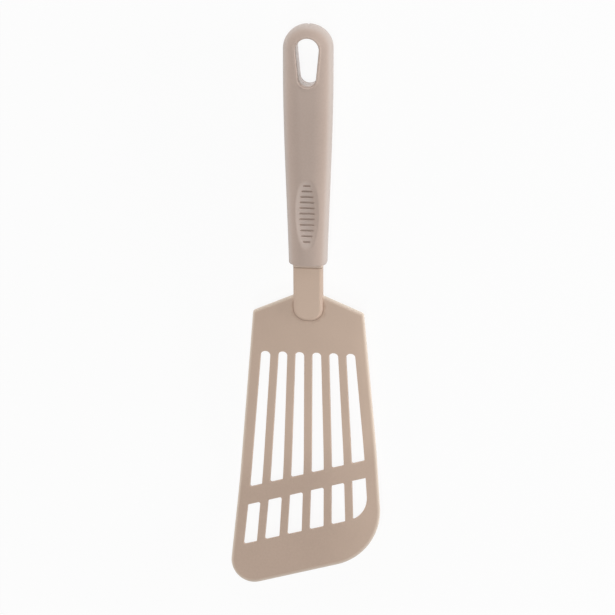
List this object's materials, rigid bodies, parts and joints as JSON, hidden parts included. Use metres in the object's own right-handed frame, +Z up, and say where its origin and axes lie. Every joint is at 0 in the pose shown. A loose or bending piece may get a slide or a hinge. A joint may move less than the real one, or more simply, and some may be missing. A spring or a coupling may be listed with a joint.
{
  "type": "slotted spatula",
  "caption": "Kitchen turner with a slanted, slotted, slightly upturned plastic blade on a flat neck and a two-shell handle with a grooved thumb rest and a hanging eye.",
  "frame": {"origin": "middle of the flat underside of the handle, on the table that the spatula lies on", "axes": "+X across the blade to the right seen from above with the blade pointing at the viewer's feet, +Y along the handle towards the hanging eye, +Z up, out of the thumb side"},
  "size_m": [0.0829, 0.3147, 0.015],
  "materials": {
    "handle_plastic": "fine matt moulded surface, warm grey taupe",
    "head_nylon": "fine matt moulded nylon, warm beige taupe",
    "collar_plastic": "smooth moulded plastic, a little lighter than the neck"
  },
  "bodies": {
    "root": {"handle_front": "handle_plastic", "handle_back": "handle_plastic", "blade_head": "head_nylon", "neck_collar": "collar_plastic"}
  },
  "joints": []
}
